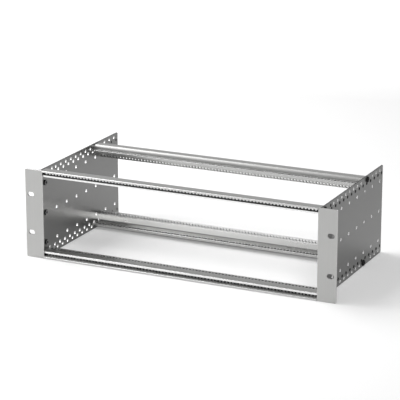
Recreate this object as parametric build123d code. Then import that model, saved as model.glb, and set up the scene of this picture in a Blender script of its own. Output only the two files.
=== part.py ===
from build123d import *
import os

os.makedirs("parts", exist_ok=True)

# Card frame for a 19 inch rack, three height units tall.
# Millimetres, +Z up, the front faces -Y, and z = 0 is the surface that it stands on.
# Depths are worked out from the front face of the rack ears, and each finished piece is
# then moved so that the origin lies below the middle of the whole frame.

# Driving sizes of the standard grid
height_unit = 44.45
units_tall = 3
rack_gap = 0.8
pitch = 5.08
pitches_wide = 84

# Overall sizes worked out from the grid
ear_width = 27.94
opening_width = pitches_wide * pitch
frame_width = opening_width + 2 * ear_width
frame_height = units_tall * height_unit - rack_gap
middle = frame_height / 2
rail_length = opening_width + pitch

# Named clearances between pieces
strip_play = 0.10
screw_play = 0.15
thread_play = 0.05
lip_play = 0.20

# Flats of the round details that repeat or are hidden, which keeps the model light
hole_flat_count = 6
screw_flat_count = 8
head_flat_count = 12

# Rack ears
ear_thickness = 2.5
ear_inner_edge = opening_width / 2
ear_outer_edge = frame_width / 2
ear_corner = 1.0
slot_to_edge = 8.74
slot_spacing_across = frame_width - 2 * slot_to_edge
slot_spacing_up = 57.15
slot_length = 10.3
slot_width = 6.8
flange_thickness = 3.0
flange_depth = 32.5
flange_inset = 14.3
flange_corner = 1.0
flange_root = 1.5

# Side panels
panel_thickness = 2.0
panel_depth = 235.0
panel_front = ear_thickness
panel_back = panel_front + panel_depth
panel_inside = rail_length / 2
panel_outside = panel_inside + panel_thickness
panel_corner = 1.5
flange_outside = panel_outside + flange_thickness

# Rows of holes in the side panels: each inset is counted from the upper or lower edge
hole_step = 15.0
row_start = 42.5
row_margin = 4.5
edge_row_inset = 5.275
second_row_inset = 10.775
cover_row_inset = 21.275
front_nut_depth = 34.0
edge_hole_radius = 2.0
second_hole_radius = 2.2
cover_hole_radius = 2.3

# Screws
screw_radius = 2.0
countersunk_head_radius = 3.8
countersunk_head_height = 2.2
button_head_radius = 4.3
button_head_height = 2.3
button_chamfer = 0.9
screw_grip = 8.0
socket_radius = 1.3
socket_depth = 1.2

# Front rails, given for the bottom one: h is counted up from the rail's outer face
front_gap_to_edge = 0.475
front_height = 9.6
front_face = ear_thickness
front_lip_reach = 3.4
outer_lip_thickness = 2.3
front_body_depth = 12.8
front_tail_depth = 22.5
plate_thickness = 2.0
rail_corner = 0.8
rear_front_corner = 3.4
groove_lip_depth = 2.5
groove_bottom = 2.8
groove_top = 6.8
groove_depth = 6.8
front_lip = front_face - front_lip_reach

# Threaded strip in the front rail's groove
strip_centre = 4.55
strip_height = 5.6
strip_thickness = 2.0
fixing_hole_radius = 1.25
strip_front = front_face + groove_lip_depth

# Row of slots for the card guides, counted forward from the end of the front rail's tail
guide_slot_width = 2.6
guide_slot_length = 5.0
guide_slot_margin = 2.5

# Screw channels that run through the rails, level with the edge row of holes
front_channel_depth = 9.8
front_channel = front_face + front_channel_depth
channel_height = edge_row_inset

# Rear rails, given for the bottom one: each reach is counted forward from the connector plane
card_depth = 175.24
connector_plane = front_face + card_depth
rear_gap_to_edge = 1.05
rear_height = 9.0
nose_reach = 25.2
nose_drop = 3.1
nose_thickness = 1.2
body_front_reach = 16.3
body_back_reach = 1.3
low_channel_reach = 12.9
high_channel_reach = 4.1
rear_nose = connector_plane - nose_reach
rear_body_front = connector_plane - body_front_reach
rear_body_back = connector_plane - body_back_reach
rear_channel_low = connector_plane - low_channel_reach
rear_channel_high = connector_plane - high_channel_reach

# Connector flange of the rear rails: a slanted web, then an upright strip with a row of holes
upright_thickness = 2.0
web_reach = 5.1
web_foot = connector_plane - web_reach
web_step = 0.5
web_top = 16.6
web_rise_behind = 1.4
upright_top = 22.8
connector_row_inset = 21.275
connector_hole_radius = 1.25

# Screws that hold an ear to its side panel, and the thin nuts on their ends
ear_screw_depth = 13.0
ear_screw_heights = (cover_row_inset, middle, frame_height - cover_row_inset)
nut_thickness = 2.2
nut_across_flats = 7.0

# Step from the front face of the ears to the middle of the frame's depth
home = Pos(0, -(front_lip + panel_back) / 2, 0)


def save(name, shape):
    placed = home * shape
    placed.label = name
    export_step(placed, "parts/" + name + ".step")


def box(x0, x1, y0, y1, z0, z1):
    size = Box(x1 - x0, y1 - y0, z1 - z0)
    return Pos((x0 + x1) / 2, (y0 + y1) / 2, (z0 + z1) / 2) * size


def patch(u0, u1, v0, v1):
    return Pos((u0 + u1) / 2, (v0 + v1) / 2) * Rectangle(u1 - u0, v1 - v0)


def flatted(radius, count):
    return RegularPolygon(radius, count, major_radius=False)


def round_corner(section, u, v, radius):
    corner = section.vertices().sort_by_distance((u, v))[0]
    return fillet(corner, radius)


def flip_side(shape):
    return mirror(shape, about=Plane.YZ)


def flip_up(shape):
    return mirror(shape, about=Plane.XY.offset(middle))


# Places of the holes and slots that repeat along the rails
pitch_places = [(i - (pitches_wide - 1) / 2) * pitch for i in range(pitches_wide)]
fixing_places = (pitch_places[1], pitch_places[-2])


def fixing_holes(radius, height):
    # The two holes that the ends of a full-width panel or backplane are fixed to.
    return [Pos(x, height) * Circle(radius) for x in fixing_places]


def row_between_fixings(radius, height):
    places = [x for x in pitch_places if x not in fixing_places]
    return [Pos(x, height) * flatted(radius, hole_flat_count) for x in places]


def steps_along(first, step):
    # Depths from the first one, a step apart, as far as the panel's back edge allows.
    last = panel_back - row_margin
    return [first + step * i for i in range(int((last - first) / step) + 1)]


def panel_hole_places():
    # Depth, height and radius of every hole of the regular rows, and of the foremost nut's hole.
    first = panel_front + row_start
    rail_ends = (rear_body_front - hole_step / 2, rear_body_back + hole_step / 2)
    edge_row = [y for y in steps_along(first, hole_step) if not rail_ends[0] < y < rail_ends[1]]
    second_row = steps_along(first - 1.5 * hole_step, hole_step)
    cover_row = steps_along(first, 2 * hole_step)
    places = [(y, middle, cover_hole_radius) for y in cover_row]
    rows = (
        (edge_row, edge_row_inset, edge_hole_radius),
        (second_row, second_row_inset, second_hole_radius),
        (cover_row, cover_row_inset, cover_hole_radius),
    )
    for depths, inset, radius in rows:
        for z in (inset, frame_height - inset):
            places += [(y, z, radius) for y in depths]
    for z in (edge_row_inset, frame_height - edge_row_inset):
        places.append((front_nut_depth, z, second_hole_radius))
    return places


def rail_screw_places(top):
    # Depth and height of the screws that hold the ends of the front and the rear rail.
    if top:
        height = frame_height - channel_height
        return (front_channel, height), (rear_channel_high, height)
    return (front_channel, channel_height), (rear_channel_low, channel_height)


def make_side_panel():
    outline = patch(panel_front, panel_back, 0, frame_height)
    for z in (0, frame_height):
        outline = round_corner(outline, panel_back, z, panel_corner)
    holes = [Pos(y, z) * flatted(radius, hole_flat_count) for y, z, radius in panel_hole_places()]
    screw_hole = flatted(screw_radius + screw_play, screw_flat_count)
    holes += [Pos(ear_screw_depth, z) * screw_hole for z in ear_screw_heights]
    for top in (False, True):
        holes += [Pos(y, z) * screw_hole for y, z in rail_screw_places(top)]
    sheet = extrude(Plane.YZ * (outline - holes), panel_thickness)
    return Pos(panel_inside, 0, 0) * sheet


def screw_shank(radius, length):
    # A shank with its head end at x = 0 and its point towards -X.
    return extrude(Plane.YZ * flatted(radius, screw_flat_count), -length)


def countersunk_head(play):
    # A short rim and a 90 degree cone below it, or with play their seat, with its flat at x = 0.
    outline = Plane.YZ * flatted(countersunk_head_radius + play, screw_flat_count)
    head = extrude(outline, -countersunk_head_height)
    underside = head.faces().sort_by(Axis.X)[0]
    return chamfer(underside.edges(), countersunk_head_radius - screw_radius)


def socket_cut(x):
    key = extrude(Plane.YZ * flatted(socket_radius, hole_flat_count), socket_depth, both=True)
    return Pos(x, 0, 0) * key


def countersunk_screw(length):
    return countersunk_head(0) + screw_shank(screw_radius, length) - socket_cut(0)


def button_screw(length):
    # The underside of its head is at x = 0.
    head = extrude(Plane.YZ * flatted(button_head_radius, head_flat_count), button_head_height)
    head = chamfer(head.faces().sort_by(Axis.X)[-1].edges(), button_chamfer)
    return head + screw_shank(screw_radius, length) - socket_cut(button_head_height)


def make_rack_ear():
    front = patch(ear_inner_edge, ear_outer_edge, 0, frame_height)
    for z in (0, frame_height):
        front = round_corner(front, ear_outer_edge, z, ear_corner)
    for side in (-1, 1):
        slot = SlotOverall(slot_length, slot_width)
        front -= Pos(slot_spacing_across / 2, middle + side * slot_spacing_up / 2) * slot
    low, high = flange_inset, frame_height - flange_inset
    flange = patch(panel_front - 1, panel_front + flange_depth, low, high)
    for z in (low, high):
        flange = round_corner(flange, panel_front + flange_depth, z, flange_corner)
    # Above and below the flange a low root of it is left, so the ear's back stays one upright band.
    flange += patch(panel_front - 1, panel_front + flange_root, 0, frame_height)
    flange = Pos(panel_outside, 0, 0) * extrude(Plane.YZ * flange, flange_thickness)
    ear = extrude(Plane.XZ * front, -ear_thickness) + flange
    shank_hole = screw_shank(screw_radius + screw_play, 2 * flange_thickness)
    seat = countersunk_head(screw_play) + shank_hole
    return ear - [Pos(flange_outside, ear_screw_depth, z) * seat for z in ear_screw_heights]


def make_ear_nuts():
    outline = RegularPolygon(nut_across_flats / 2, 6, major_radius=False)
    outline -= flatted(screw_radius + thread_play, screw_flat_count)
    nut = extrude(Plane.YZ * outline, -nut_thickness)
    return [Pos(panel_inside, ear_screw_depth, z) * nut for z in ear_screw_heights]


def front_rail_section():
    h = front_height
    back = front_face + front_body_depth
    section = round_corner(patch(front_face, back, 0, h), back, 0, rail_corner)
    section += patch(back - 1, front_face + front_tail_depth, h - plate_thickness, h)
    groove = patch(front_face - 1, front_face + groove_depth, groove_bottom, groove_top)
    reach = strip_height / 2 + strip_play
    strip_back = strip_front + strip_thickness + strip_play
    seat = patch(strip_front, strip_back, strip_centre - reach, strip_centre + reach)
    channel = flatted(screw_radius + thread_play, screw_flat_count)
    return section - [groove, seat, Pos(front_channel, channel_height - front_gap_to_edge) * channel]


def guide_slots():
    back = front_face + front_tail_depth - guide_slot_margin
    middle_depth = back - guide_slot_length / 2
    slot = Rectangle(guide_slot_width, guide_slot_length)
    row = Sketch() + [Pos(x, middle_depth) * slot for x in pitch_places]
    return Pos(0, 0, front_height - 2 * plate_thickness) * extrude(row, 3 * plate_thickness)


def make_front_rail():
    bar = extrude(Plane.YZ * front_rail_section(), rail_length / 2, both=True)
    half = ear_inner_edge - lip_play
    bar += box(-half, half, front_lip, front_face + 1, 0, outer_lip_thickness)
    return Pos(0, 0, front_gap_to_edge) * (bar - guide_slots())


def flange_outline():
    strip_back = connector_plane + upright_thickness
    return Polyline(
        (web_foot, rear_height),
        (connector_plane - web_step, web_top),
        (connector_plane, web_top),
        (connector_plane, upright_top),
        (strip_back, upright_top),
        (strip_back, web_top - web_rise_behind),
        (rear_body_back, rear_height + web_rise_behind),
        (rear_body_back, rear_height - plate_thickness),
        (web_foot, rear_height - plate_thickness),
        close=True,
    )


def rear_rail_section():
    h = rear_height
    section = patch(rear_body_front, rear_body_back, 0, h)
    section = round_corner(section, rear_body_front, 0, rear_front_corner)
    section = round_corner(section, rear_body_back, 0, rail_corner)
    section += patch(rear_nose, rear_body_front + 1, h - plate_thickness, h)
    section += patch(rear_nose, rear_nose + nose_thickness, h - nose_drop, h)
    section += make_face(flange_outline())
    channel = flatted(screw_radius + thread_play, screw_flat_count)
    height = channel_height - rear_gap_to_edge
    return section - [Pos(y, height) * channel for y in (rear_channel_low, rear_channel_high)]


def make_rear_rail():
    bar = extrude(Plane.YZ * rear_rail_section(), rail_length / 2, both=True)
    height = connector_row_inset - rear_gap_to_edge
    row = Sketch() + fixing_holes(connector_hole_radius, height)
    row += row_between_fixings(connector_hole_radius, height)
    holes = extrude(Plane.XZ.offset(-connector_plane) * row, 2 * upright_thickness, both=True)
    return Pos(0, 0, rear_gap_to_edge) * (bar - holes)


def make_threaded_strip():
    # The tapped holes between the two outermost ones are a fine thread detail, left plain here.
    half = rail_length / 2
    low = strip_centre - strip_height / 2
    bar = patch(-half, half, low, low + strip_height)
    bar -= fixing_holes(fixing_hole_radius, strip_centre)
    bar = extrude(Plane.XZ * bar, -strip_thickness)
    return Pos(0, strip_front, front_gap_to_edge) * bar


def make_ear_screws():
    screw = countersunk_screw(flange_thickness + panel_thickness + nut_thickness)
    return [Pos(flange_outside, ear_screw_depth, z) * screw for z in ear_screw_heights]


def make_rail_screws(end):
    # The upper and the lower screw at the rails' front (end 0) or at the rear rails (end 1).
    screw = button_screw(panel_thickness + screw_grip)
    return [Pos(panel_outside, *rail_screw_places(top)[end]) * screw for top in (False, True)]


# Pieces that come in a right and a mirrored left version
right_side = {
    "side_panel": make_side_panel(),
    "rack_ear": make_rack_ear(),
    "ear_nuts": Compound(children=make_ear_nuts()),
    "ear_screws": Compound(children=make_ear_screws()),
    "front_rail_screws": Compound(children=make_rail_screws(0)),
    "rear_rail_screws": Compound(children=make_rail_screws(1)),
}
for name, shape in right_side.items():
    save(name + "_right", shape)
    save(name + "_left", flip_side(shape))

# Pieces that come in a bottom and a mirrored top version
bottom_side = {
    "front_rail": make_front_rail(),
    "rear_rail": make_rear_rail(),
    "threaded_strip": make_threaded_strip(),
}
for name, shape in bottom_side.items():
    save(name + "_bottom", shape)
    save(name + "_top", flip_up(shape))
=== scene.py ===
# %% [markdown]
# # A 19 inch card frame of anodised aluminium
#
# The real object is an open frame that slides into a 19 inch rack and carries circuit cards.
# Two perforated side sheets, two slotted ears and four extruded rails are screwed together.
# This lesson dresses the imported CAD model: pieces with rows of round holes are made again as
# fine meshes, and every piece gets a metal finish made of shader nodes.

from math import cos, pi, radians, sin

import bmesh
import bpy
import numpy as np
from mathutils import Matrix, Vector


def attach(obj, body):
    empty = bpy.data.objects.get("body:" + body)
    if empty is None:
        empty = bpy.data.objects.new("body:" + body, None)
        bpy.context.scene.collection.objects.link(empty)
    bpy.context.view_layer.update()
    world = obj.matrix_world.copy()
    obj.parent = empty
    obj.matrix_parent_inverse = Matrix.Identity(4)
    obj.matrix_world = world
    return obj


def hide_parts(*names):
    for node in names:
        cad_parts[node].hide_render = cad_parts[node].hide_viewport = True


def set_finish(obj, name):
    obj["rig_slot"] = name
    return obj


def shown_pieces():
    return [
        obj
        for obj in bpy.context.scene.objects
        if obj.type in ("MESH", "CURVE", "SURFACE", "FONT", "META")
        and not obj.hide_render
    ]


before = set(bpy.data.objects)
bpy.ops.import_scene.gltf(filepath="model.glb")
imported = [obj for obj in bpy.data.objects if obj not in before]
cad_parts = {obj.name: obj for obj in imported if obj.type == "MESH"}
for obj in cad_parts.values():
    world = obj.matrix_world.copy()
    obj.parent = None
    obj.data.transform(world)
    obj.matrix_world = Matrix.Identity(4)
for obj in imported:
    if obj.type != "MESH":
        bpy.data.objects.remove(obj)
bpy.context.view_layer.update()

# %% [markdown]
# The sizes below are the ones that the CAD model was built from, in millimetres. Depths are
# counted from the front face of the ears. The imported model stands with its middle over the
# origin, so one step moves every depth, and one factor turns millimetres into metres.

# %% Sizes shared by the pieces
MM = 0.001
EAR_FACE_TO_MIDDLE = 118.3
HEIGHT = 132.55
MIDDLE = HEIGHT / 2
PITCH = 5.08
PITCHES = 84
RAIL_HALF = 215.9
OPENING_HALF = 213.36
SHEET = 2.0
PANEL_FRONT, PANEL_BACK = 2.5, 237.5
PANEL_OUTSIDE = 217.9
FLANGE_OUTSIDE = 220.9
EAR_SCREW_DEPTH = 13.0
FRONT_CHANNEL = 12.3
LOWER_REAR_CHANNEL, UPPER_REAR_CHANNEL = 164.84, 173.64
EDGE_ROW, SECOND_ROW, COVER_ROW = 5.275, 10.775, 21.275
FRONT_SCREWS = ((FRONT_CHANNEL, EDGE_ROW), (FRONT_CHANNEL, HEIGHT - EDGE_ROW))
REAR_SCREWS = ((LOWER_REAR_CHANNEL, EDGE_ROW), (UPPER_REAR_CHANNEL, HEIGHT - EDGE_ROW))
EAR_SCREWS = tuple((EAR_SCREW_DEPTH, z) for z in (COVER_ROW, MIDDLE, HEIGHT - COVER_ROW))


def placed(points):
    """Points in millimetres from the ears' front face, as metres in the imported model's frame."""
    return (np.asarray(points, float) - (0, EAR_FACE_TO_MIDDLE, 0)) * MM


print("rail length", 2 * RAIL_HALF, "mm, frame height", HEIGHT, "mm")

# %% [markdown]
# The finishes need to know more about a piece than its shape, so each face carries three
# marks. The first tells narrow eased edges, which are brighter than the anodised face beside
# them, and it is worked out from the mesh. The second is painted shade: faces inside grooves,
# slots and holes, along some edges, on the ears' flanges and on some outer faces are painted
# darker, some nearly black, as shade would make them. The third is painted highlights: some
# faces of the rails and threaded strips are painted in the bright tone of bare metal, as light
# would catch them, and the nuts' inner faces get the same tone. The last two are shares from 0
# to 1 in boxes that the cells of the pieces give, and some of these shares were chosen so that
# a face comes out as light or dark as it looks in the photograph.

# %% Marks on the faces
EDGE_MARK = "cut_edge"
PAINTED_SHADE_MARK = "dull_inside"
PAINTED_HIGHLIGHT_MARK = "rubbed"
NARROW_FACE = 0.9 * MM
FLAT_LIMIT = 0.995
ANY = (-1, 999)


def read_rows(items, key, width):
    """A property of every vertex or face as an array with one row for each."""
    values = np.zeros(len(items) * width)
    items.foreach_get(key, values)
    return values.reshape(-1, width)


def write_mark(mesh, name, shares):
    """One share for each face, as an attribute that the finishes read."""
    mark = mesh.attributes.new(name, "FLOAT", "FACE")
    mark.data.foreach_set("value", shares)


def mark_cut_edges(mesh):
    """The mark is 1 where a face is tilted away from all three axes' directions and is narrow."""
    tilted = np.abs(read_rows(mesh.polygons, "normal", 3)).max(1) < FLAT_LIMIT
    points = read_rows(mesh.vertices, "co", 3)
    corners = np.zeros(len(mesh.loops), np.int32)
    mesh.loops.foreach_get("vertex_index", corners)
    starts = np.zeros(len(mesh.polygons), np.int32)
    mesh.polygons.foreach_get("loop_start", starts)
    sides = np.linalg.norm(points[corners] - points[np.roll(corners, -1)], axis=1)
    narrow = np.minimum(sides[starts], sides[starts + 1]) < NARROW_FACE
    write_mark(mesh, EDGE_MARK, (tilted & narrow).astype(float))


def mark_places(mesh, name, boxes):
    """A face gets the share of the last box that its middle lies in. Each box is (x range,
    depth range, height range, share) in millimetres, with x taken without its sign."""
    middles = read_rows(mesh.polygons, "center", 3) / MM + (0, EAR_FACE_TO_MIDDLE, 0)
    middles[:, 0] = np.abs(middles[:, 0])
    shares = np.zeros(len(middles))
    for *ranges, share in boxes:
        low, high = np.array(ranges, float).T
        shares[((middles > low) & (middles < high)).all(1)] = share
    write_mark(mesh, name, shares)


print("marks:", EDGE_MARK, PAINTED_SHADE_MARK, PAINTED_HIGHLIGHT_MARK)

# %% [markdown]
# Every new piece goes through one maker. It puts whole arrays of points and faces into a
# mesh, joins points that coincide, turns the faces outwards and leaves the marks. Black
# screws and nuts keep their colour on their edges, so they get no mark for cut edges.

# %% Turn arrays of points and faces into a piece
MERGE_DISTANCE = 2e-6
SHARP_ANGLE = radians(32)


def tidy_mesh(mesh):
    """Points closer than the merge distance become one, faces without an area go, and normals
    are averaged across every edge that bends less than the sharp angle."""
    work = bmesh.new()
    work.from_mesh(mesh)
    bmesh.ops.remove_doubles(work, verts=work.verts, dist=MERGE_DISTANCE)
    bmesh.ops.dissolve_degenerate(work, edges=work.edges, dist=MERGE_DISTANCE)
    bmesh.ops.recalc_face_normals(work, faces=work.faces)
    work.to_mesh(mesh)
    work.free()
    mesh.polygons.foreach_set("use_smooth", np.ones(len(mesh.polygons), bool))
    mesh.set_sharp_from_angle(angle=SHARP_ANGLE)


def new_object(name, data):
    """An object of a mesh, curve, lamp or camera, in the scene."""
    made = bpy.data.objects.new(name, data)
    bpy.context.scene.collection.objects.link(made)
    return made


def finish_piece(name, mesh, slot, *nodes, dull=(), rubbed=()):
    """An object of a mesh, which rides on the frame and stands in for the named CAD nodes."""
    tidy_mesh(mesh)
    if slot != "black_steel":
        mark_cut_edges(mesh)
    # Painted shade and painted highlights, as shares on the faces in the given boxes.
    mark_places(mesh, PAINTED_SHADE_MARK, dull)
    mark_places(mesh, PAINTED_HIGHLIGHT_MARK, rubbed)
    piece = new_object(name, mesh)
    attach(piece, "root")
    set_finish(piece, slot)
    if nodes:
        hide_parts(*nodes)
    print(name, "faces", len(mesh.polygons))


def piece_from(name, points, faces, slot, *nodes, **marks):
    """The same from an array of points in metres and a list of faces."""
    mesh = bpy.data.meshes.new(name)
    mesh.from_pydata(np.asarray(points).tolist(), [], faces)
    finish_piece(name, mesh, slot, *nodes, **marks)


print("edges are sharp over", round(SHARP_ANGLE * 180 / pi), "degrees")

# %% [markdown]
# The side panels and the plates of the ears are flat sheets with holes anywhere, so a grid of
# two parameters doesn't fit them. Blender's flat curve does: the outline and each hole are
# closed splines, and the fill leaves the holes open. First come the outlines, as arrays of
# points.


# %% Outlines of sheets and holes
def ring(u, v, radius, count=28):
    """A circle: the middle plus the radius times cosine and sine of evenly spaced angles."""
    angle = np.arange(count) * 2 * pi / count
    return np.stack([u + radius * np.cos(angle), v + radius * np.sin(angle)], 1)


def long_hole(u, v, length, width, count=12):
    """Two half circles a straight run apart."""
    angle = np.linspace(-pi / 2, pi / 2, count)
    half = (length - width) / 2
    right = np.stack([u + half + width / 2 * np.cos(angle), v + width / 2 * np.sin(angle)], 1)
    return np.concatenate([right, 2 * np.array([u, v]) - right])


def rounded_outline(corners, radii, count=5):
    """A polygon whose corners are quarter-like arcs: each arc's middle lies on the line that
    halves the corner, as far in as makes both neighbouring sides touch the arc."""
    corners = np.asarray(corners, float)
    points = []
    for i, radius in enumerate(radii):
        here, before, after = corners[i], corners[i - 1], corners[(i + 1) % len(corners)]
        if radius <= 0:
            points.append(here[None])
            continue
        a = (before - here) / np.linalg.norm(before - here)
        b = (after - here) / np.linalg.norm(after - here)
        half = np.arccos(np.clip(a @ b, -1, 1)) / 2
        middle = here + (a + b) / np.linalg.norm(a + b) * radius / sin(half)
        start = here + a * radius / np.tan(half) - middle
        end = here + b * radius / np.tan(half) - middle
        turn = np.linspace(0, 1, count)[:, None]
        sweep = np.arccos(np.clip(start @ end / radius**2, -1, 1))
        weights = np.sin((1 - turn) * sweep), np.sin(turn * sweep)
        points.append(middle + (weights[0] * start + weights[1] * end) / sin(sweep))
    return np.concatenate(points)


print("corners of a round hole", len(ring(0, 0, 1)), "and of a slot", len(long_hole(0, 0, 2, 1)))

# %% [markdown]
# The curve gets the sheet's thickness and a small bevel, which eases every rim as a punched
# and tumbled sheet has it. Then it is made a mesh and stood up in its place.


# %% Flat sheets with holes
def mesh_from(holder, *helpers):
    """The mesh that an object's curve or modifiers come to. The object and its helpers go."""
    shaped = holder.evaluated_get(bpy.context.evaluated_depsgraph_get())
    mesh = bpy.data.meshes.new_from_object(shaped)
    for used in (holder, *helpers):
        bpy.data.objects.remove(used)
    return mesh


def sheet_mesh(name, outline, holes, thickness, bevel):
    """A flat curve filled between its outline and its holes, with eased rims, as a mesh with
    the outline's two directions along its own x and y, and its thickness about z = 0."""
    curve = bpy.data.curves.new(name, "CURVE")
    curve.dimensions = "2D"
    curve.fill_mode = "BOTH"
    curve.extrude = thickness / 2 - bevel
    curve.bevel_depth = bevel
    curve.bevel_resolution = 0
    curve.offset = -bevel
    for loop in [outline, *holes]:
        spline = curve.splines.new("POLY")
        spline.points.add(len(loop) - 1)
        flat = np.zeros((len(loop), 4))
        flat[:, :2] = loop
        flat[:, 3] = 1
        spline.points.foreach_set("co", flat.ravel())
        spline.use_cyclic_u = True
    return mesh_from(new_object(name + "_outline", curve))


def stand(mesh, u_axis, v_axis, origin):
    """Turns a sheet's mesh so that its own x and y run along two given directions."""
    u, v = Vector(u_axis), Vector(v_axis)
    turn = Matrix((u, v, u.cross(v))).transposed().to_4x4()
    mesh.transform(Matrix.Diagonal((MM, MM, MM, 1)) @ Matrix.Translation(origin) @ turn)
    return mesh


print("a sheet is", SHEET, "mm thick")

# %% [markdown]
# A side panel carries three regular rows of holes near its upper and its lower edge and one
# along its middle, 15 or 30 mm apart. They take the screws of covers, trays and backplanes.
# Both panels are the same sheet, so the left one is the right one in a mirror.

# %% Side panels
FIRST_HOLE, LAST_HOLE = PANEL_FRONT + 42.5, PANEL_BACK - 4.5
HOLE_STEP = 15.0
REAR_RAIL_PLACE = 153.94, 183.94
EDGE_HOLE, NUT_HOLE, COVER_HOLE, SCREW_HOLE = 2.0, 2.2, 2.3, 2.15
FRONT_NUT_DEPTH = 34.0
PANEL_CORNER, PANEL_RIM = 1.5, 0.15
# Painted shade: the sheets' upper and lower edge faces are painted nearly black, and their
# outsides a little darker.
PANEL_PAINTED_SHADE = [
    (ANY, ANY, (HEIGHT - 0.3, HEIGHT + 1), 0.8),  # upper edge
    (ANY, ANY, (-1, 0.3), 0.8),  # lower edge
    ((PANEL_OUTSIDE - 0.05, PANEL_OUTSIDE + 0.05), ANY, ANY, 0.13),  # outside
]


def panel_holes():
    """(depth, height, radius) of each hole: even steps along rows that have the same places
    above the lower edge and below the upper one. The edge rows stop for the rear rails."""
    first_rail, last_rail = REAR_RAIL_PLACE
    edge = np.arange(FIRST_HOLE, LAST_HOLE, HOLE_STEP)
    edge = [y for y in edge if not first_rail < y < last_rail]
    second = np.arange(FIRST_HOLE - 1.5 * HOLE_STEP, LAST_HOLE, HOLE_STEP)
    cover = np.arange(FIRST_HOLE, LAST_HOLE, 2 * HOLE_STEP)
    holes = [(y, MIDDLE, COVER_HOLE) for y in cover]
    for z, side in ((0, 1), (HEIGHT, -1)):
        holes += [(y, z + side * EDGE_ROW, EDGE_HOLE) for y in edge]
        holes += [(y, z + side * SECOND_ROW, NUT_HOLE) for y in second]
        holes += [(y, z + side * COVER_ROW, COVER_HOLE) for y in cover]
        holes.append((FRONT_NUT_DEPTH, z + side * EDGE_ROW, NUT_HOLE))
    holes += [(y, z, SCREW_HOLE) for y, z in EAR_SCREWS + FRONT_SCREWS + REAR_SCREWS]
    return holes


def make_panel(side, word):
    """The sheet with its holes, stood up on one side of the frame."""
    name = "side_panel_" + word
    corners = [(PANEL_FRONT, 0), (PANEL_BACK, 0), (PANEL_BACK, HEIGHT), (PANEL_FRONT, HEIGHT)]
    outline = rounded_outline(corners, (0, PANEL_CORNER, PANEL_CORNER, 0))
    holes = [ring(y, z, radius) for y, z, radius in panel_holes()]
    mesh = sheet_mesh(name, outline, holes, SHEET, PANEL_RIM)
    middle = side * (RAIL_HALF + SHEET / 2)
    stand(mesh, (0, 1, 0), (0, 0, 1), (middle, -EAR_FACE_TO_MIDDLE, 0))
    finish_piece(name + "_sheet", mesh, "panel_sheet", name, dull=PANEL_PAINTED_SHADE)


SIDES = ((-1, "left"), (1, "right"))
for side, word in SIDES:
    make_panel(side, word)
print("holes in each panel", len(panel_holes()))

# %% [markdown]
# An extrusion is one section pushed through a die, so its mesh is the section carried along
# a straight path. The rails also have a hole or slot at every 5.08 mm pitch. The strip of
# wall that holds such a row is a window in the section: a pair of points on the near face, the
# pair behind it on the far face, and the size of the hole. The stations of the path are the
# borders of the cells in the window, so everything joins into one closed skin.

# %% Sections with windows
CELL_STEPS = 4
ON_LINE = 1e-4
cell_edges = (np.arange(PITCHES * CELL_STEPS + 1) / CELL_STEPS - PITCHES / 2) * PITCH
rail_stations = np.concatenate([[-RAIL_HALF], cell_edges, [RAIL_HALF]])


def on_run(section, a, b):
    """Number of the section's side that holds both a and b: there the three distances add up."""
    after = np.roll(section, -1, 0)
    long = np.linalg.norm(after - section, axis=1)
    spare = sum(
        np.linalg.norm(section - p, axis=1) + np.linalg.norm(after - p, axis=1) - long
        for p in (a, b)
    )
    return int(np.argmin(spare))


def with_windows(section, windows):
    """The section with each window's two runs divided as the cells' sides are."""
    for near0, near1, far0, far1, _ in windows:
        for a, b in ((near0, near1), (far1, far0)):
            a, b = np.array(a, float), np.array(b, float)
            side = on_run(section, a, b)
            if np.linalg.norm(a - section[side]) > np.linalg.norm(b - section[side]):
                a, b = b, a
            run = a + np.linspace(0, 1, CELL_STEPS + 1)[:, None] * (b - a)
            section = np.insert(section, side + 1, run, axis=0)
    return section


def window_sides(section, windows):
    """True for each side of the section whose middle lies on a window's run."""
    middles = (section + np.roll(section, -1, 0)) / 2
    inside = np.zeros(len(section), bool)
    for near0, near1, far0, far1, _ in windows:
        for a, b in ((near0, near1), (far0, far1)):
            a, b = np.array(a, float), np.array(b, float)
            share = (middles - a) @ (b - a) / ((b - a) @ (b - a))
            off = np.linalg.norm(middles - a - share[:, None] * (b - a), axis=1)
            inside |= (off < ON_LINE) & (share > 0) & (share < 1)
    return inside


print("stations along a rail", len(rail_stations))

# %% [markdown]
# Each cell of a window is filled by five rings of points round its hole: the cell's border,
# the eased rim of the hole, its wall, the rim on the far face and the border there. All the
# cells of a row are one array.


# %% Cells with a hole
def hole_cells(window):
    """Rings of points round the hole of every pitch, shape (pitches, rings, points, 3).

    A rim point is the border point pulled towards the middle until it lies on the curve where
    the two half-widths' shares, raised to the power, add up to one. Power 2 gives a round
    hole and power 8 a slot with eased corners."""
    near0, near1, far0, far1, (half_along, half_across, power, ease) = window
    near0, near1, through = (np.array(p, float) for p in (near0, near1, np.subtract(far0, near0)))
    t, one = np.arange(CELL_STEPS) / CELL_STEPS * 2 - 1, np.ones(CELL_STEPS)
    u = np.concatenate([t, one, -t, -one])
    v = np.concatenate([-one, t, one, -t])
    pull = (np.abs(u) ** power + np.abs(v) ** power) ** (-1 / power)
    middle, run = (near0 + near1) / 2, (near1 - near0) / 2
    reach = np.linalg.norm(run)
    depth = through / np.linalg.norm(through)

    def rim(grow, step):
        """The hole's edge, grown by its ease and moved a step into the wall."""
        along = u * pull * (half_along + grow)
        across = v * pull * (half_across + grow) / reach
        return np.column_stack([along, middle + across[:, None] * run + step])

    border = np.column_stack([u * PITCH / 2, middle + v[:, None] * run])
    rings = [border, rim(ease, 0 * depth), rim(0, ease * depth), rim(0, through)]
    rings.append(border + (0, *through))
    copies = np.repeat(np.stack(rings)[None], PITCHES, 0)
    copies[..., 0] += ((np.arange(PITCHES) - (PITCHES - 1) / 2) * PITCH)[:, None, None]
    return copies


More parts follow.
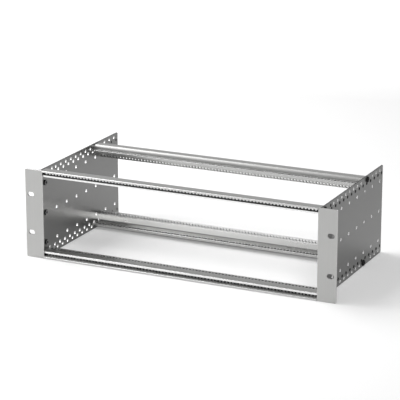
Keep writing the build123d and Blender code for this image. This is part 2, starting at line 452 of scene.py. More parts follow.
def quads_between(rows, columns, start=0):
    """Four-cornered faces between neighbouring rings of a grid of points."""
    r, c = np.meshgrid(np.arange(rows - 1), np.arange(columns), indexing="ij")
    n = (c + 1) % columns
    corners = (r * columns + c, r * columns + n, (r + 1) * columns + n, (r + 1) * columns + c)
    return np.stack(corners, -1).reshape(-1, 4) + start


print("points round a hole", 4 * CELL_STEPS)

# %% [markdown]
# The sweep joins the stations ring by ring, leaves out the faces in the windows, closes both
# ends and adds the cells. A top rail is the bottom one in a mirror at the middle height, and
# both come from one call. Their painted shade is given once, in the section, while painted
# highlights are given for each, because the two look different in the photograph.

# %% Extrusions in pairs
TINY = 1e-6


def extrusion(path, windows):
    """Points and faces of a section carried along the rail.

    path has one closed ring of (x, depth, height) for each station. The faces that lie in
    windows are left to the cells."""
    stations, count, _ = path.shape
    faces = quads_between(stations, count)
    x = path[:, -1, 0]
    cells_reach = (x[:-1] > -OPENING_HALF - TINY) & (x[1:] < OPENING_HALF + TINY)
    left_out = cells_reach[:, None] & window_sides(path[2, :, 1:], windows)[None]
    faces = faces[~left_out.ravel()].tolist()
    last = (stations - 1) * count
    faces += [list(range(count)), list(range(last, last + count))]
    points, start = [path.reshape(-1, 3)], stations * count
    for window in windows:
        cells = hole_cells(window)
        pitches, rings, around, _ = cells.shape
        step = (np.arange(pitches) * rings * around)[:, None, None] + start
        faces += (quads_between(rings, around)[None] + step).reshape(-1, 4).tolist()
        points.append(cells.reshape(-1, 3))
        start += pitches * rings * around
    return np.concatenate(points), faces


def straight_path(section, stations):
    """The same section at every station: x from the station, depth and height from it."""
    x = np.repeat(np.asarray(stations, float)[:, None, None], len(section), 1)
    return np.concatenate([x, np.repeat(section[None], len(stations), 0)], -1)


def make_pair(name, word, shape, slot, raise_by, dull, rubbed):
    """The bottom piece, and the top one with each height taken from the frame's height.

    shape is the points and faces of a rail that stands on height 0, and raise_by lifts it.
    The painted shade is (depth range, height range, share) in the same heights. The painted
    highlights are the bottom and the top piece's boxes, in the frame's heights."""
    points, faces = shape
    low = placed(points + (0, 0, raise_by))
    high = low * (1, 1, -1) + (0, 0, 2 * MIDDLE * MM)
    for side, made, highlight_boxes in (("bottom", low, rubbed[0]), ("top", high, rubbed[1])):
        boxes = []
        for depths, heights, share in dull:
            heights = [h + raise_by for h in heights]
            if side == "top":
                heights = [HEIGHT - h for h in reversed(heights)]
            boxes.append((ANY, depths, heights, share))
        node = f"{name}_{side}"
        piece_from(f"{node}_{word}", made, faces, slot, node, dull=boxes, rubbed=highlight_boxes)


print("cells in a row", PITCHES)

# %% [markdown]
# The front rail has a lip that stands proud between the ears, a groove that holds the threaded
# strip, and a tail with a slot for a card guide at every pitch. The lip ends where the ears
# begin, so at the end stations its points step back onto the face behind it. The corners are
# (depth, height, radius) round the section.

# %% Front rails
FRONT_RAIL_GAP = 0.475
LIP_BACK = 2.5
LIP_PLAY = 0.2
front_corners = np.array([
    (-0.9, 0, 0.7), (15.3, 0, 0.8), (15.3, 7.6, 0.4), (25.0, 7.6, 0.3), (25.0, 9.6, 0.3),
    (2.5, 9.6, 0.5), (2.5, 6.8, 0.3), (5.0, 6.8, 0), (5.0, 7.45, 0), (7.1, 7.45, 0),
    (7.1, 6.8, 0), (9.3, 6.8, 0), (9.3, 2.8, 0), (7.1, 2.8, 0), (7.1, 1.65, 0),
    (5.0, 1.65, 0), (5.0, 2.8, 0), (2.5, 2.8, 0), (2.5, 2.3, 0), (-0.9, 2.3, 0.7),
])
GUIDE_SLOT = (1.3, 2.5, 8, 0.15)
guide_window = ((15.8, 9.6), (24.2, 9.6), (15.8, 7.6), (24.2, 7.6), GUIDE_SLOT)
# Painted shade: nearly black inside the groove and on the guide slots' walls, and a little darker
# on the outer face, which is the top rail's top face.
GROOVE_INSIDE = ((5.1, 9.4), (1.6, 7.5), 1.0)
GUIDE_SLOT_WALLS = ((15.8, 24.2), (7.8, 9.4), 1.0)
FRONT_UNDERSIDE = ((-0.5, 25), (-0.1, 0.1), 0.12)
# Painted highlights: these faces get the bright bare tone.
FRONT_PAINTED_HIGHLIGHTS = (
    # bottom: the face above the groove and the top of the lip
    [(ANY, (2.4, 2.6), (7.2, 10.2), 1.0), (ANY, (-0.8, 4.9), (2.7, 2.85), 1.0)],
    # top: the face below the groove
    [(ANY, (2.4, 2.6), (122.4, 125.4), 1.0)],
)


def front_rail_path():
    """The section at every station. At the end stations the lip's depth is that of the face
    behind it, and beside them its x leaves a little play to the ear."""
    outline = rounded_outline(front_corners[:, :2], front_corners[:, 2])
    section = with_windows(outline, [guide_window])
    ends = ([-RAIL_HALF, -OPENING_HALF], [OPENING_HALF, RAIL_HALF])
    path = straight_path(section, np.concatenate([ends[0], cell_edges, ends[1]]))
    lip = section[:, 0] < LIP_BACK - TINY
    path[np.ix_([0, 1, -2, -1], lip, [1])] = LIP_BACK
    for station, inwards in ((2, 1), (-3, -1)):
        path[station, lip, 0] += inwards * LIP_PLAY
    return path


make_pair(
    "front_rail",
    "extrusion",
    extrusion(front_rail_path(), [guide_window]),
    "rail_extrusion",
    FRONT_RAIL_GAP,
    [GROOVE_INSIDE, GUIDE_SLOT_WALLS, FRONT_UNDERSIDE],
    FRONT_PAINTED_HIGHLIGHTS,
)

# %% [markdown]
# The rear rail is a box with a nose towards the cards, whose slots take the card guides, and a
# flange behind that carries the connectors. The flange leans back and then stands upright,
# with a round hole at every pitch. Its outer front edge is well rounded, which is the bright
# line along the rear rails.

# %% Rear rails
REAR_RAIL_GAP = 1.05
rear_corners = np.array([
    (161.44, 0, 5.0), (176.44, 0, 0.8), (176.44, 10.4, 0.8), (179.74, 15.2, 0.8),
    (179.74, 22.8, 0.35), (177.74, 22.8, 0.35), (177.74, 16.6, 0.2), (177.24, 16.6, 0.2),
    (173.25, 10.01, 0), (172.64, 9.0, 0.3), (152.54, 9.0, 0.4), (152.54, 5.9, 0.3),
    (153.74, 5.9, 0.3), (153.74, 7.0, 0.2), (161.44, 7.0, 0.3),
])
NOSE_SLOT = (1.6, 2.6, 8, 0.15)
CONNECTOR_HOLE = (1.25, 1.25, 2, 0.4)
rear_windows = [
    ((154.2, 9.0), (160.6, 9.0), (154.2, 7.0), (160.6, 7.0), NOSE_SLOT),
    ((177.74, 18.025), (177.74, 22.425), (179.74, 18.025), (179.74, 22.425), CONNECTOR_HOLE),
]
# Painted shade: nearly black on the slots' and holes' walls, darker at the flange's foot, and a
# little darker on the rounded edge, which dims its bright line, on the face below it and on the
# outer face.
REAR_PAINTED_SHADE = [
    ((154.2, 160.6), (7.2, 8.8), 1.0),  # walls of the nose's slots
    ((177.76, 179.6), (18.1, 22.35), 1.0),  # walls of the connector holes
    ((172.4, 173.25), (9.01, 10.0), 0.7),  # foot of the flange
    ((161.3, 166.4), (-0.1, 5.0), 0.12),  # rounded edge
    ((161.3, 161.6), (5.0, 7.3), 0.25),  # face between it and the nose
    ((166.4, 177), (-0.1, 0.1), 0.1),  # outer face
]
# Painted highlights: the flanges' upright parts get the bright bare tone, fully on the bottom rail
# and a quarter of it on the top one.
REAR_PAINTED_HIGHLIGHTS = (  # the flanges' upright parts
    [(ANY, (177.2, 180.0), (17.7, 24.5), 1.0)],
    [(ANY, (177.2, 180.0), (108.0, 114.8), 0.25)],
)
rear_outline = rounded_outline(rear_corners[:, :2], rear_corners[:, 2])
rear_section = with_windows(rear_outline, rear_windows)
make_pair(
    "rear_rail",
    "extrusion",
    extrusion(straight_path(rear_section, rail_stations), rear_windows),
    "rail_extrusion",
    REAR_RAIL_GAP,
    REAR_PAINTED_SHADE,
    REAR_PAINTED_HIGHLIGHTS,
)

# %% [markdown]
# The threaded strips are flat bars of zinc plated steel that slide into the grooves. Each has a
# tapped hole for a front panel's screw at every pitch.

# %% Threaded strips
strip_corners = [(5.0, 1.75), (7.0, 1.75), (7.0, 7.35), (5.0, 7.35)]
TAPPED_HOLE = (1.25, 1.25, 2, 0.12)
strip_window = ((5.0, 2.25), (5.0, 6.85), (7.0, 2.25), (7.0, 6.85), TAPPED_HOLE)
strip_section = with_windows(rounded_outline(strip_corners, (0.3,) * 4), [strip_window])
# Painted shade: the tapped holes' walls are painted nearly black.
TAPPED_HOLE_WALLS = ((5.03, 6.97), (2.3, 6.8), 1.0)
# Painted highlights: the strips' front faces get the bright bare tone, a band of the top one fully
# and the bottom one in part.
STRIP_PAINTED_HIGHLIGHTS = (  # the front faces
    [(ANY, (4.9, 5.02), (2.2, 8.0), 0.42)],
    [(ANY, (4.9, 5.02), (126.9, 130.3), 1.0)],
)
make_pair(
    "threaded_strip",
    "tapped",
    extrusion(straight_path(strip_section, rail_stations), [strip_window]),
    "strip_steel",
    FRONT_RAIL_GAP,
    [TAPPED_HOLE_WALLS],
    STRIP_PAINTED_HIGHLIGHTS,
)

# %% [markdown]
# Screws, nuts and the seats of countersunk heads are turned shapes: a profile carried round a
# line. A hexagon, such as a socket, is a ring whose radius swells towards the six corners.


# %% Turned shapes
def off_flat(angle):
    """Angle from the middle of the nearest flat of a hexagon that has corners along y."""
    return angle % (pi / 3) - pi / 6


def turned(profile, count, middle, side, six_sided=0):
    """Points and faces of a shape turned about a line along x.

    profile has a row (radius, reach) for each ring: the point at an angle is the radius times
    its cosine and sine, and reach is measured outwards on that side. The last six_sided
    rings are hexagons: their radius is the flat's distance over the cosine of the angle from
    the middle of the nearest flat."""
    profile = np.asarray(profile, float)
    angle = np.arange(count) * 2 * pi / count
    radius = np.repeat(profile[:, :1], count, 1)
    if six_sided:
        radius[-six_sided:] = radius[-six_sided:] / np.cos(off_flat(angle))
    x = np.repeat(side * profile[:, 1:], count, 1)
    points = np.stack([x, radius * np.cos(angle), radius * np.sin(angle)], -1)
    faces = quads_between(len(profile), count).tolist()
    last = (len(profile) - 1) * count
    faces += [list(range(count)), list(range(last, last + count))]
    return points.reshape(-1, 3) + middle, faces


def several(shapes):
    """Several (points, faces) as one, each shape's numbers counted on from the last."""
    points, faces, start = [], [], 0
    for made, sides in shapes:
        points.append(made)
        faces += [[corner + start for corner in side] for side in sides]
        start += len(made)
    return np.concatenate(points), faces


FINE_TURN, COARSE_TURN = 24, 12
print("points round a screw", FINE_TURN, "and round a press nut", COARSE_TURN)

# %% [markdown]
# An ear is one extrusion: a front plate with two long slots for the rack's screws, and a flange
# behind it that lies against the side panel. Both plates are flat sheets that run into each
# other and are joined, and the screw seats are cut out of the flange. Booleans are exact
# enough here, because every face is flat or a short cone.

# %% Rack ears
EAR_PLATE = 2.5
EAR_OUTER = 241.3
SLOT_X, SLOT_RISE, SLOT_LENGTH, SLOT_WIDTH = 232.56, 28.575, 10.3, 6.8
SLOTS = ((SLOT_X, MIDDLE - SLOT_RISE), (SLOT_X, MIDDLE + SLOT_RISE))
FLANGE_INSET, FLANGE_BACK, FLANGE_ROOT = 14.3, 35.0, 4.0
SEAT = [(2.15, -6.0), (2.15, -2.2), (3.95, -0.4), (3.95, 0.5)]
EAR_CORNER, ROOT_CORNER, PLATE_RIM, FLANGE_RIM = 1.0, 0.4, 0.2, 0.3
# Painted shade: the flange behind the front plate is painted darker, and the slots' walls in part.
FLANGE_PAINTED_SHADE = (ANY, (2.6, 36), ANY, 0.75)
SLOT_WALLS = [((226.9, 238.2), (0.02, 2.48), (z - 3.6, z + 3.6), 0.55) for _, z in SLOTS]


def combined(base, tool, operation):
    """The base mesh joined with the tool or cut by it, as one closed skin."""
    body, other = new_object("body", base), new_object("tool", tool)
    for mesh in (base, tool):
        tidy_mesh(mesh)
    change = body.modifiers.new("combine", "BOOLEAN")
    change.operation, change.solver, change.object = operation, "EXACT", other
    return mesh_from(body, other)


def ear_plate(name):
    """The front plate with its two slots, upright at the front."""
    corners = [(OPENING_HALF, 0), (EAR_OUTER, 0), (EAR_OUTER, HEIGHT), (OPENING_HALF, HEIGHT)]
    outline = rounded_outline(corners, (0, EAR_CORNER, EAR_CORNER, 0))
    slots = [long_hole(u, v, SLOT_LENGTH, SLOT_WIDTH) for u, v in SLOTS]
    plate = sheet_mesh(name, outline, slots, EAR_PLATE, PLATE_RIM)
    return stand(plate, (1, 0, 0), (0, 0, 1), (0, EAR_PLATE / 2 - EAR_FACE_TO_MIDDLE, 0))


def ear_flange(name):
    """The flange along the side panel, short of both edges behind its full-height root."""
    low = FLANGE_INSET
    corners = [(1.5, 0.2), (FLANGE_ROOT, 0), (FLANGE_ROOT, low), (FLANGE_BACK, low)]
    corners += [(y, HEIGHT - z) for y, z in reversed(corners)]
    radii = (0, ROOT_CORNER, 0, EAR_CORNER)
    outline = rounded_outline(corners, radii + radii[::-1])
    flange = sheet_mesh(name, outline, [], FLANGE_OUTSIDE - PANEL_OUTSIDE, FLANGE_RIM)
    middle = (FLANGE_OUTSIDE + PANEL_OUTSIDE) / 2
    return stand(flange, (0, 1, 0), (0, 0, 1), (middle, -EAR_FACE_TO_MIDDLE, 0))


def make_ear(side, word):
    """Plate and flange joined, less the screws' seats. The left ear is the mirror image."""
    name = "rack_ear_" + word
    ear = combined(ear_plate(name), ear_flange(name), "UNION")
    seats = [turned(SEAT, FINE_TURN, (FLANGE_OUTSIDE, y, z), 1) for y, z in EAR_SCREWS]
    points, faces = several(seats)
    cutter = bpy.data.meshes.new("seats")
    cutter.from_pydata(placed(points).tolist(), [], faces)
    ear = combined(ear, cutter, "DIFFERENCE")
    if side < 0:
        ear.transform(Matrix.Diagonal((-1, 1, 1, 1)))
    dull = [FLANGE_PAINTED_SHADE, *SLOT_WALLS]
    finish_piece(name + "_extrusion", ear, "ear_extrusion", name, dull=dull)


for side, word in SIDES:
    make_ear(side, word)

# %% [markdown]
# All the screws are black and have a hexagon socket. A head is a turned shape whose inner rings
# change from round to six-sided, so head and socket are one skin.

# %% Screws
SOCKET = [(1.3, 0), (1.3, -1.2), (0.01, -1.5)]
COUNTERSUNK = [(2.0, -2.2), (3.8, -0.4), (3.8, -0.08), (3.7, 0), (1.55, 0)]
BUTTON_TOP = 2.3
BUTTON = [
    (2.0, 0), (4.2, 0), (4.3, 0.12), (4.3, 0.9),
    (3.95, 1.65), (3.3, 2.15), (2.6, BUTTON_TOP), (1.55, BUTTON_TOP),
]


def screw_shapes(head, length, x, places, side, top):
    """Tip, shank, head and socket as one profile, at each place."""
    shank = [(0.01, -length), (1.5, -length), (2.0, 0.5 - length)]
    socket = [(radius, top + reach) for radius, reach in SOCKET]
    profile = shank + head + socket
    return [turned(profile, FINE_TURN, (side * x, y, z), side, len(socket)) for y, z in places]


screw_sets = {
    "ear_screws": (COUNTERSUNK, 7.2, FLANGE_OUTSIDE, EAR_SCREWS, 0),
    "front_rail_screws": (BUTTON, 10.0, PANEL_OUTSIDE, FRONT_SCREWS, BUTTON_TOP),
    "rear_rail_screws": (BUTTON, 10.0, PANEL_OUTSIDE, REAR_SCREWS, BUTTON_TOP),
}
for name, (head, length, x, places, top) in screw_sets.items():
    for side, word in SIDES:
        points, faces = several(screw_shapes(head, length, x, places, side, top))
        node = f"{name}_{word}"
        piece_from(node + "_socket_head", placed(points), faces, "black_steel", node)

# %% [markdown]
# The ear screws end in thin black nuts inside the panels. A nut is a ring of points carried
# round its bore: from the inner rim out over the chamfered flats and back along the sheet.

# %% Nuts on the ear screws
NUT_FLAT = 3.5
HEX_NUT = [(2.0, 0), (4.04, 0), (4.04, -1.9), (3.75, -2.2), (2.35, -2.2), (2.0, -1.95)]
# The nuts' inner faces get most of the bare tone, so they read lighter than the rest.
NUT_LIGHT_FACE = [((213.5, 213.9), ANY, ANY, 0.9)]


def closed_ring(profile, count, middle, side):
    """A turned shape with a bore: the last ring is joined to the first instead of capped."""
    points, faces = turned(profile, count, middle, side)
    closing = quads_between(2, count)
    closing[:, 2:] = closing[:, 2:] % count + (len(profile) - 1) * count
    return points, faces[:-2] + closing.tolist()


def nut(middle, side):
    """A turned ring cut to a hexagon: no point lies further out than the flat's distance over
    the cosine of the angle from the middle of the nearest flat."""
    points, faces = closed_ring(HEX_NUT, FINE_TURN, middle, side)
    from_middle = points[:, 1:] - middle[1:]
    radius = np.linalg.norm(from_middle, axis=1)
    angle = np.arctan2(from_middle[:, 1], from_middle[:, 0])
    reach = np.minimum(radius, NUT_FLAT / np.cos(off_flat(angle)))
    points[:, 1:] = middle[1:] + from_middle * (reach / radius)[:, None]
    return points, faces


for side, word in SIDES:
    points, faces = several(nut(np.array([side * RAIL_HALF, y, z]), side) for y, z in EAR_SCREWS)
    node = "ear_nuts_" + word
    made = placed(points)
    piece_from(node + "_chamfered", made, faces, "black_steel", node, rubbed=NUT_LIGHT_FACE)

# %% [markdown]
# Black press nuts sit in the holes of the second row, which reads dark between the two light
# rows beside it, and in one hole near the front of each edge row. Each is a short turned bush
# with a low rim that stands a little proud of the sheet, and a hollow that narrows to a point,
# so that no light comes through. The left panel has them only behind the rear rails.

# %% Press nuts in the second row of holes
PRESS_NUT = [
    (0.01, -1.9), (2.0, -1.9), (2.19, -1.75), (2.19, -0.12), (2.19, 0.02),
    (2.5, 0.06), (2.4, 0.16), (1.8, 0.16), (1.65, -0.1),
]
FIRST_NUT = {"right": 0, "left": 195}


def press_nuts(side, word):
    """A turned shape at each nut hole from a first depth on."""
    shapes = []
    for y, z, radius in panel_holes():
        if radius == NUT_HOLE and y >= FIRST_NUT[word]:
            middle = (side * PANEL_OUTSIDE, y, z)
            shapes.append(closed_ring(PRESS_NUT, COARSE_TURN, middle, side))
    points, faces = several(shapes)
    piece_from("press_nuts_" + word, placed(points), faces, "black_steel")


for side, word in reversed(SIDES):
    press_nuts(side, word)

# %% [markdown]
# The finishes share five effects, and each is a shader node group that is built once. The
# first three are noise over Object coordinates, which for every piece are the real ones. Lines
# are what a die or a roll leaves along the metal, so their noise is drawn out along one axis.
# Cloud is the slow change in tone of an anodised or handled surface. Grain is its fine tooth.


# %% Effects made of noise
def new_group(name, inputs):
    """An empty node group with the given inputs and one output of the group's own name."""
    group = bpy.data.node_groups.new(name, "ShaderNodeTree")
    for socket, kind, value in inputs:
        made = group.interface.new_socket(socket, in_out="INPUT", socket_type=kind)
        made.default_value = value
    group.interface.new_socket(name, in_out="OUTPUT", socket_type="NodeSocketFloat")
    start, end = group.nodes.new("NodeGroupInput"), group.nodes.new("NodeGroupOutput")
    return group, start.outputs[0], end.inputs[0]


def add_node(tree, kind, **settings):
    """A new shader node with some of its settings changed."""
    made = tree.nodes.new(kind)
    for key, value in settings.items():
        setattr(made, key, value)
    return made


def feed(tree, value, socket):
    """Links another node's output to a socket, or writes a plain value there."""
    if isinstance(value, bpy.types.NodeSocket):
        tree.links.new(value, socket)
    else:
        socket.default_value = value


def worked_out(tree, operation, a, b, clamp=False):
    """One sum with two numbers, such as their product or the larger one."""
    sum_node = add_node(tree, "ShaderNodeMath", operation=operation, use_clamp=clamp)
    feed(tree, a, sum_node.inputs[0])
    feed(tree, b, sum_node.inputs[1])
    return sum_node.outputs[0]


def noise_group(name, stretch, detail, fineness):
    """Noise over Object coordinates that are multiplied by a stretch for each axis."""
    group, stretch_in, out = new_group(name, [("Stretch", "NodeSocketVector", stretch)])
    place = add_node(group, "ShaderNodeTexCoord")
    scaled = add_node(group, "ShaderNodeVectorMath", operation="MULTIPLY")
    noise = add_node(group, "ShaderNodeTexNoise")
    noise.inputs["Scale"].default_value = 1.0
    noise.inputs["Detail"].default_value = detail
    noise.inputs["Roughness"].default_value = fineness
    group.links.new(place.outputs["Object"], scaled.inputs[0])
    group.links.new(stretch_in, scaled.inputs[1])
    group.links.new(scaled.outputs[0], noise.inputs["Vector"])
    group.links.new(noise.outputs[0], out)
    return group


lines_effect = noise_group("Lines", (3.0, 1400.0, 1400.0), 3.0, 0.6)
cloud_effect = noise_group("Cloud", (14.0, 14.0, 14.0), 3.0, 0.55)
grain_effect = noise_group("Grain", (5200.0, 5200.0, 5200.0), 2.0, 0.6)
print("noise effects:", [group.name for group in (lines_effect, cloud_effect, grain_effect)])

# %% [markdown]
# The other two read the marks on the faces. Wear and painted highlight is where the colour
# goes to bare metal: on cut edges, which are bare, and on painted highlights, less a patchy
# part of them. Painted shade is the share that the painted shade mark gives.

# %% Effects that read the marks
PATCHES = (260.0, 260.0, 260.0)


def read_mark(tree, name):
    """The share that a mark gives to the face under a point."""
    return add_node(tree, "ShaderNodeAttribute", attribute_name=name).outputs["Fac"]


def wear_and_highlight_group():
    """The larger of the cut edge's mark and the painted highlight mark, less a small noise times
    Breakup.
    """
    group, breakup, out = new_group("Wear", [("Breakup", "NodeSocketFloat", 0.5)])
    edge = read_mark(group, EDGE_MARK)
    patchy = add_node(group, "ShaderNodeGroup", node_tree=cloud_effect)
    patchy.inputs[0].default_value = PATCHES
    fade = worked_out(group, "MULTIPLY", patchy.outputs[0], breakup)
    rubbed = read_mark(group, PAINTED_HIGHLIGHT_MARK)
    bare_or_highlight = worked_out(group, "MAXIMUM", edge, rubbed)
    group.links.new(worked_out(group, "SUBTRACT", bare_or_highlight, fade, clamp=True), out)
    return group


def dull_group():
    """The painted shade mark times Depth."""
    group, depth, out = new_group("Painted shade", [("Depth", "NodeSocketFloat", 1.0)])
    inside = read_mark(group, PAINTED_SHADE_MARK)
    group.links.new(worked_out(group, "MULTIPLY", inside, depth, clamp=True), out)
    return group


wear_and_highlight_effect, dull_effect = wear_and_highlight_group(), dull_group()
print("effects:", sorted(group.name for group in bpy.data.node_groups))

# %% [markdown]
# A metal finish is one Principled shader. Its colour goes from a tone to a lighter tone with
# the cloud, darkens a little in the lines, and turns to bare bright metal on cut edges and
# where highlights are painted. Its roughness rises with the cloud and falls in both. Where
# shade is painted, its colour goes to nearly black, its roughness rises, and it is less of a
# metal. Lines and grain are a very low bump.

# %% One maker for all metal finishes
MIX_SOCKETS = {"RGBA": (6, 2), "FLOAT": (2, 0)}  # number of the first input and the output
BLUE_SHARE = 0.985
LINE_TONE, LINE_SHARE = 0.8, 0.35
BARE_ROUGHNESS, PAINTED_SHADE_ROUGHNESS = 0.22, 0.6
# Painted shade is this nearly black colour.
PAINTED_SHADE_COLOUR = (0.02, 0.02, 0.02, 1.0)
METAL_SPECULAR, OXIDE_SPECULAR = 0.5, 0.08
GRAIN_SHARE = 0.35
BUMP_DISTANCE = 0.0002


def mixed(tree, share, a, b, kind="FLOAT"):
    """a times one less the share, plus b times the share. A Mix node has its inputs for
    numbers and for colours side by side, so the kind tells which to use."""
    mix = add_node(tree, "ShaderNodeMix", data_type=kind)
    first, result = MIX_SOCKETS[kind]
    for socket, value in ((0, share), (first, a), (first + 1, b)):
        feed(tree, value, mix.inputs[socket])
    return mix.outputs[result]


def effect_of(tree, group, stretch=None):
    """The output of an effect that is placed in a finish, drawn out by its own stretch."""
    placed_effect = add_node(tree, "ShaderNodeGroup", node_tree=group)
    if stretch:
        placed_effect.inputs[0].default_value = stretch
    return placed_effect.outputs[0]


def metal_finish(name, tones, rough, stretch, bare_and_highlight_tone, metallic=1.0, bump=0.06):
    """tones is (darker, lighter) and rough is (smoothest, roughest), between which the cloud
    chooses. The bare tone is the grey of the bare metal on cut edges, and it is also painted on
    faces as highlights."""
    finish = bpy.data.materials.new(name)
    finish.use_nodes = True
    tree = finish.node_tree
    shader = tree.nodes["Principled BSDF"]
    shader.inputs["Metallic"].default_value = metallic
    specular = METAL_SPECULAR if metallic else OXIDE_SPECULAR
    shader.inputs["Specular IOR Level"].default_value = specular
    lines = effect_of(tree, lines_effect, stretch)
    cloud = effect_of(tree, cloud_effect)
    grain = effect_of(tree, grain_effect)
    wear_and_highlight = effect_of(tree, wear_and_highlight_effect)
    dull = effect_of(tree, dull_effect)
    tone, light_tone = ((c, c, c * BLUE_SHARE, 1.0) for c in tones)
    dark = tuple(c * LINE_TONE for c in tone[:3]) + (1.0,)
    colour = mixed(tree, cloud, tone, light_tone, "RGBA")
    line_share = worked_out(tree, "MULTIPLY", lines, LINE_SHARE)
    colour = mixed(tree, line_share, colour, dark, "RGBA")
    roughness = mixed(tree, cloud, *rough)
    # Cut edges are bare metal, and on painted highlights the same bright tone is painted.
    colour = mixed(tree, wear_and_highlight, colour, (bare_and_highlight_tone, bare_and_highlight_tone, bare_and_highlight_tone, 1.0), "RGBA")
    roughness = mixed(tree, wear_and_highlight, roughness, BARE_ROUGHNESS)
    # Painted shade: the colour goes to nearly black, and the surface gets rougher and less metal.
    colour = mixed(tree, dull, colour, PAINTED_SHADE_COLOUR, "RGBA")
    roughness = mixed(tree, dull, roughness, PAINTED_SHADE_ROUGHNESS)
    if metallic:
        tree.links.new(mixed(tree, dull, metallic, 0.0), shader.inputs["Metallic"])
    tree.links.new(colour, shader.inputs["Base Color"])
    tree.links.new(roughness, shader.inputs["Roughness"])
    relief_height = mixed(tree, GRAIN_SHARE, lines, grain)
    relief = add_node(tree, "ShaderNodeBump")
    relief.inputs["Strength"].default_value = bump
    relief.inputs["Distance"].default_value = BUMP_DISTANCE
    tree.links.new(relief_height, relief.inputs["Height"])
    tree.links.new(relief.outputs["Normal"], shader.inputs["Normal"])
    return finish


# The nearly black colour of painted shade.
print("nearly black, for dull places:", PAINTED_SHADE_COLOUR[:3])

# %% [markdown]
# The frame has five finishes. The rails, the ears and the sheets are the same metal with lines
# along the rail, up the ear and along the sheet. The threaded strips are darker zinc, and the
# black oxide of the screws and nuts isn't a metal to the shader.

# %% The five finishes
ALONG_RAIL = (1.0, 1400.0, 1400.0)
ALONG_SHEET = (1400.0, 3.0, 1400.0)
ALONG_EAR = (1400.0, 1400.0, 3.0)
NO_DIRECTION = (900.0, 900.0, 900.0)
finishes = {
    "panel_sheet": metal_finish("satin_sheet", (0.165, 0.20), (0.26, 0.32), ALONG_SHEET, 0.95),
    "ear_extrusion": metal_finish("anodised_ear", (0.44, 0.50), (0.36, 0.42), ALONG_EAR, 0.85),
    "rail_extrusion": metal_finish(
        "anodised_rail", (0.45, 0.52), (0.24, 0.32), ALONG_RAIL, 0.95, metallic=0.9, bump=0.05
    ),
    "strip_steel": metal_finish("dark_zinc", (0.04, 0.06), (0.22, 0.30), ALONG_RAIL, 0.85),
    "black_steel": metal_finish(
        "black_oxide", (0.012, 0.022), (0.4, 0.5), NO_DIRECTION, 0.3, metallic=0.0
    ),
}
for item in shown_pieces():
    item.data.materials.clear()
    item.data.materials.append(finishes[item["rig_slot"]])
print("finishes:", [finish.name for finish in finishes.values()])

# %% [markdown]
# The studio is a pale floor without an end in view. It gets its white from the Light Path:
# what the camera, mirror-like metal and glass see of it has a share of plain white added, and
# the rest still takes the frame's shadow. That share grows to all white with the distance, so
# that no horizon shows in low views.

# %% Floor
FLOOR_HALF, FLOOR_LOW = 14.0, -0.0004
PAPER_TONE, FLOOR_TONE = 0.8, 0.78
FLOOR_WHITE = 0.2
FLOOR_PALES = (1.0, 2.4)


def seen_or_mirrored(tree):
    """Two shares: 1 for rays from the camera, from a mirror-like face or through glass, else
    0, and 1 for rays from the camera alone, else 0."""
    path = add_node(tree, "ShaderNodeLightPath")
    share = path.outputs["Is Camera Ray"]
    for other in ("Is Glossy Ray", "Is Transmission Ray"):
        share = worked_out(tree, "MAXIMUM", share, path.outputs[other])
    return share, path.outputs["Is Camera Ray"]


def diffuse(tree, tone):
    """A matt grey."""
    shader = add_node(tree, "ShaderNodeBsdfDiffuse")
    shader.inputs["Color"].default_value = (tone, tone, tone, 1)
    return shader.outputs[0]


def paper_material():
    """Plain paper for the light, and for the eye a paper with white light added. The light's
    strength goes from the floor's white to 1 between two distances from the middle."""
    paper = bpy.data.materials.new("white_paper")
    paper.use_nodes = True
    tree = paper.node_tree
    tree.nodes.clear()
    plain = diffuse(tree, PAPER_TONE)
    toned = diffuse(tree, FLOOR_TONE)
    white = add_node(tree, "ShaderNodeEmission")
    place = add_node(tree, "ShaderNodeTexCoord")
    distance = add_node(tree, "ShaderNodeVectorMath", operation="LENGTH")
    far = add_node(tree, "ShaderNodeMapRange")
    far.inputs["From Min"].default_value, far.inputs["From Max"].default_value = FLOOR_PALES
    strength = mixed(tree, far.outputs[0], FLOOR_WHITE, 1.0)
    both = add_node(tree, "ShaderNodeAddShader")
    choose = add_node(tree, "ShaderNodeMixShader")
    out = add_node(tree, "ShaderNodeOutputMaterial")
    seen, _ = seen_or_mirrored(tree)
    for start, end in (
        (place.outputs["Object"], distance.inputs[0]),
        (distance.outputs["Value"], far.inputs["Value"]),
        (strength, white.inputs["Strength"]),
        (toned, both.inputs[0]),
        (white.outputs[0], both.inputs[1]),
        (seen, choose.inputs[0]),
        (plain, choose.inputs[1]),
        (both.outputs[0], choose.inputs[2]),
        (choose.outputs[0], out.inputs["Surface"]),
    ):
        tree.links.new(start, end)
    return paper


mesh = bpy.data.meshes.new("studio_floor")
corners = np.array([(-1, -1, 0), (1, -1, 0), (1, 1, 0), (-1, 1, 0)]) * FLOOR_HALF
corners[:, 2] = FLOOR_LOW
mesh.from_pydata(corners.tolist(), [], [(0, 1, 2, 3)])
mesh.materials.append(paper_material())
new_object("studio_floor", mesh)
print("floor", 2 * FLOOR_HALF, "m square")

# %% [markdown]
# Three soft lamps light it: a large one high on the left, which gives most of the light, a weak
# one at the front left, and a narrow one at the front right for the faces that look that way.
# The world is a soft even light. Metal sees a little more of it than matt surfaces do, and the
# camera sees it white.

# %% Lamps and world
WORLD_LIGHT, WORLD_MIRRORED, WORLD_SEEN = 0.38, 0.55, 1.0
ALL_ROUND = 180


def soft_lamp(name, place, target, size, power, fan=ALL_ROUND):
    """A rectangular lamp that looks from its place at a target and shines over a fan."""
    lamp = bpy.data.lights.new(name, "AREA")
    lamp.shape = "RECTANGLE"
    lamp.size, lamp.size_y = size
    lamp.energy = power
    lamp.spread = radians(fan)
    holder = new_object(name, lamp)
    holder.location = place
    holder.rotation_mode = "QUATERNION"
    holder.rotation_quaternion = (Vector(target) - Vector(place)).to_track_quat("-Z", "Y")


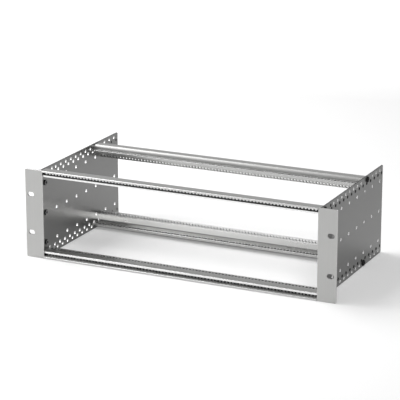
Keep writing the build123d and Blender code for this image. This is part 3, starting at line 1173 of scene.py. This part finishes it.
soft_lamp("left_softbox", (-2.2, 0.15, 2.0), (0, 0, 0), (2.7, 2.8), 86)
soft_lamp("front_left", (-1.5, -1.6, 1.75), (0, 0, 0.05), (1.3, 1.3), 6)
soft_lamp("front_right", (0.95, -1.45, 1.8), (-0.2, 0, 0.03), (0.9, 0.9), 1.8, fan=40)
world = bpy.data.worlds.new("studio")
bpy.context.scene.world = world
world.use_nodes = True
tree = world.node_tree
sky = tree.nodes["Background"]
sky.inputs["Color"].default_value = (1, 1, 1, 1)
seen, straight = seen_or_mirrored(tree)
strength = mixed(tree, seen, WORLD_LIGHT, WORLD_MIRRORED)
strength = mixed(tree, straight, strength, WORLD_SEEN)
tree.links.new(strength, sky.inputs["Strength"])

# %% [markdown]
# The camera stands where the photograph was taken from: to the right of the frame, a little
# above it and over two metres away. Its place came from fitting the frame's known sizes to
# their edges in the photograph.

# %% Camera
CAMERA_AZIMUTH, CAMERA_HEIGHT_ANGLE, CAMERA_ROLL = 0.4448703, 0.2922845, -0.00116044
CAMERA_PLACE = (1.126415, -2.401776, 0.882033)
SENSOR_WIDTH, LENS = 36.0, 172.3038
camera = new_object("camera", bpy.data.cameras.new("camera"))
level_share, rise = cos(CAMERA_HEIGHT_ANGLE), sin(CAMERA_HEIGHT_ANGLE)
east, north = sin(CAMERA_AZIMUTH) * level_share, -cos(CAMERA_AZIMUTH) * level_share
back = Vector((east, north, rise))
level = Vector((cos(CAMERA_AZIMUTH), sin(CAMERA_AZIMUTH), 0))
upright = back.cross(level)
right = cos(CAMERA_ROLL) * level + sin(CAMERA_ROLL) * upright
above = -sin(CAMERA_ROLL) * level + cos(CAMERA_ROLL) * upright
turn = Matrix((right, above, back)).transposed().to_4x4()
camera.matrix_world = Matrix.Translation(CAMERA_PLACE) @ turn
camera.data.sensor_width = SENSOR_WIDTH
camera.data.lens = LENS
camera.data.clip_start, camera.data.clip_end = 0.05, 60.0
bpy.context.scene.camera = camera
bpy.context.scene.view_settings.view_transform = "Standard"
print("camera", [round(v, 3) for v in camera.location], "lens", camera.data.lens)
